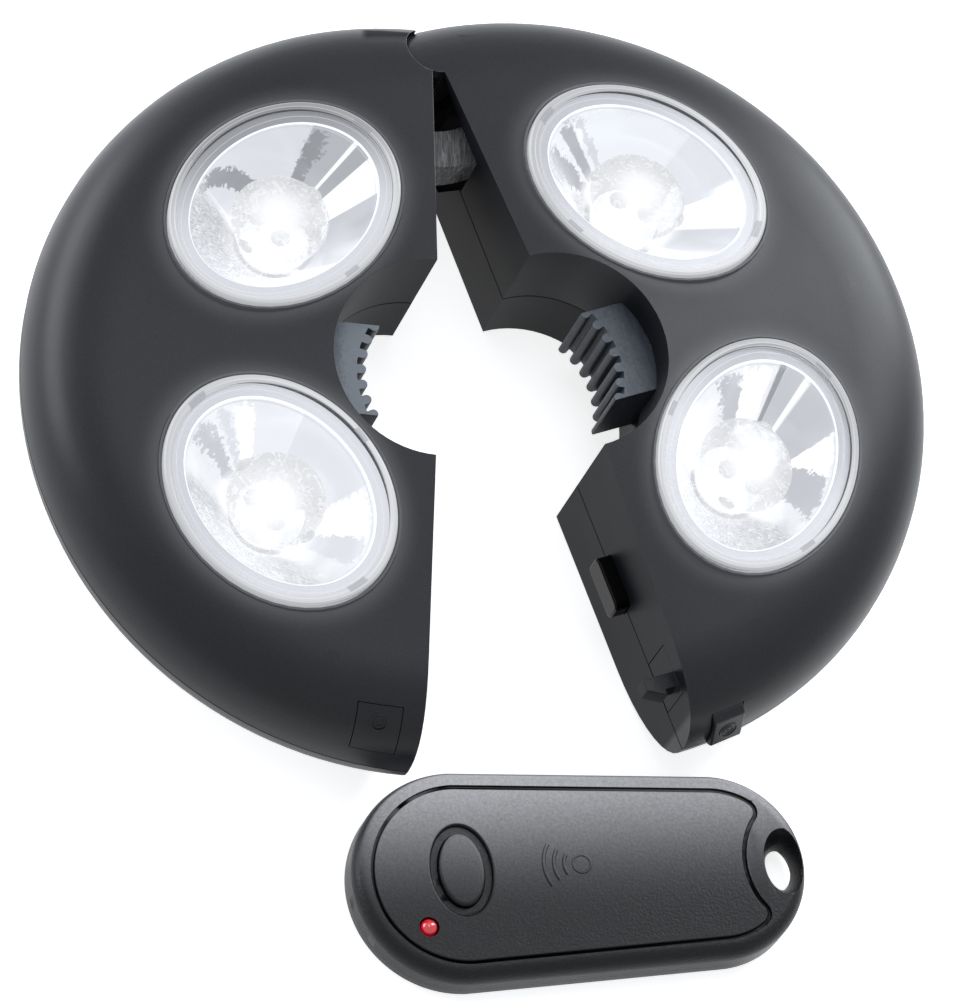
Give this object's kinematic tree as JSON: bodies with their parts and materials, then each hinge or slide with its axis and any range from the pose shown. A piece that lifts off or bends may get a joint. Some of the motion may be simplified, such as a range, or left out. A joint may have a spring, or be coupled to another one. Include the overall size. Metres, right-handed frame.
{
  "type": "patio umbrella light",
  "caption": "Hinged ring lamp that clamps round a parasol pole, with oval LED lamps on its face, sprung rubber jaws, a latch, and a pocket remote with a button and key ring hole.",
  "frame": {"origin": "centre of the pole hole on the lamp's back face, with the lamp lying on its back", "axes": "+Z along the pole, out of the lamp face; +Y towards the hinge; +X towards the half with the latch hook"},
  "size_m": [0.233, 0.2553, 0.0498],
  "materials": {
    "body_plastic": "fine matt moulding, charcoal",
    "jaw_rubber": "blue-grey rubber",
    "black_plastic": "glossy black",
    "bridge_plastic": "rough grey moulding",
    "seal": "black soft seal",
    "lens": "clear polished plastic",
    "reflector": "bright vacuum plated",
    "led": "clear resin domes, lit",
    "board": "green circuit board",
    "steel": "bright steel",
    "cell": "printed sleeve, plain",
    "remote_plastic": "fine satin grain",
    "red_lamp": "clear red, polished"
  },
  "bodies": {
    "left_half": {"left_front_cover": "body_plastic", "left_back_cover": "body_plastic", "left_cells": "cell", "left_contacts": "steel", "left_screws": "steel", "left_jaw_spring": "steel", "upper_left_lens": "lens", "upper_left_seal": "seal", "upper_left_reflector": "reflector", "upper_left_board": "board", "upper_left_leds": "led", "lower_left_lens": "lens", "lower_left_seal": "seal", "lower_left_reflector": "reflector", "lower_left_board": "board", "lower_left_leds": "led", "hinge_pin": "steel", "cable_bridge": "bridge_plastic", "control_board": "board"},
    "right_half": {"right_front_cover": "body_plastic", "right_back_cover": "body_plastic", "right_cells": "cell", "right_contacts": "steel", "right_screws": "steel", "right_jaw_spring": "steel", "upper_right_lens": "lens", "upper_right_seal": "seal", "upper_right_reflector": "reflector", "upper_right_board": "board", "upper_right_leds": "led", "lower_right_lens": "lens", "lower_right_seal": "seal", "lower_right_reflector": "reflector", "lower_right_board": "board", "lower_right_leds": "led", "locating_peg": "black_plastic", "latch_hook": "body_plastic", "switch_board": "board"},
    "left_jaw": {"left_jaw": "jaw_rubber", "left_jaw_slide": "bridge_plastic"},
    "right_jaw": {"right_jaw": "jaw_rubber", "right_jaw_slide": "bridge_plastic"},
    "release_tab": {"release_tab": "body_plastic"},
    "power_button": {"power_button": "body_plastic"},
    "left_battery_door": {"left_battery_door": "body_plastic"},
    "right_battery_door": {"right_battery_door": "body_plastic"},
    "remote": {"remote_top_shell": "remote_plastic", "remote_bottom_shell": "remote_plastic", "remote_face_plate": "remote_plastic", "remote_lamp": "red_lamp", "remote_board": "board", "remote_coin_cell": "steel"},
    "remote_button": {"remote_button": "remote_plastic"},
    "remote_battery_cover": {"remote_battery_cover": "remote_plastic"}
  },
  "joints": [
    {"name": "half_hinge", "type": "hinge", "parent": "left_half", "child": "right_half", "pos_m": [0.002, 0.0898, 0.021], "axis": [0, 0, 1], "range_deg": [-21.5, 8.5]},
    {"name": "left_jaw_slide", "type": "slide", "parent": "left_half", "child": "left_jaw", "axis": [-1, 0, 0], "range_m": [0, 0.007], "stiffness_N_per_m": 500, "springref_m": -0.003, "deforming": ["left_jaw_spring"]},
    {"name": "right_jaw_slide", "type": "slide", "parent": "right_half", "child": "right_jaw", "axis": [0.9304, 0.3665, 0], "range_m": [0, 0.007], "stiffness_N_per_m": 500, "springref_m": -0.003, "deforming": ["right_jaw_spring"]},
    {"name": "release_tab_press", "type": "hinge", "parent": "left_half", "child": "release_tab", "pos_m": [-0.01125, -0.095, 0.02845], "axis": [-1, 0, 0], "range_deg": [0, 4], "stiffness_Nm_per_rad": 0.4, "springref_deg": -2.86},
    {"name": "power_button_press", "type": "slide", "parent": "right_half", "child": "power_button", "axis": [-0.4679, 0.8838, 0], "range_m": [0, 0.0012], "stiffness_N_per_m": 800, "springref_m": -0.0005},
    {"name": "left_battery_door_lift", "type": "slide", "parent": "left_half", "child": "left_battery_door", "axis": [0, 0, -1], "range_m": [0, 0.02]},
    {"name": "right_battery_door_lift", "type": "slide", "parent": "right_half", "child": "right_battery_door", "axis": [0, 0, -1], "range_m": [0, 0.02]},
    {"name": "remote_move", "type": "slide", "parent": "left_half", "child": "remote", "axis": [0, -1, 0], "range_m": [0, 0.06]},
    {"name": "remote_button_press", "type": "slide", "parent": "remote", "child": "remote_button", "axis": [0, 0, -1], "range_m": [0, 0.0008], "stiffness_N_per_m": 600, "springref_m": -0.0005},
    {"name": "remote_battery_cover_lift", "type": "slide", "parent": "remote", "child": "remote_battery_cover", "axis": [0, 0, -1], "range_m": [0, 0.02]}
  ]
}
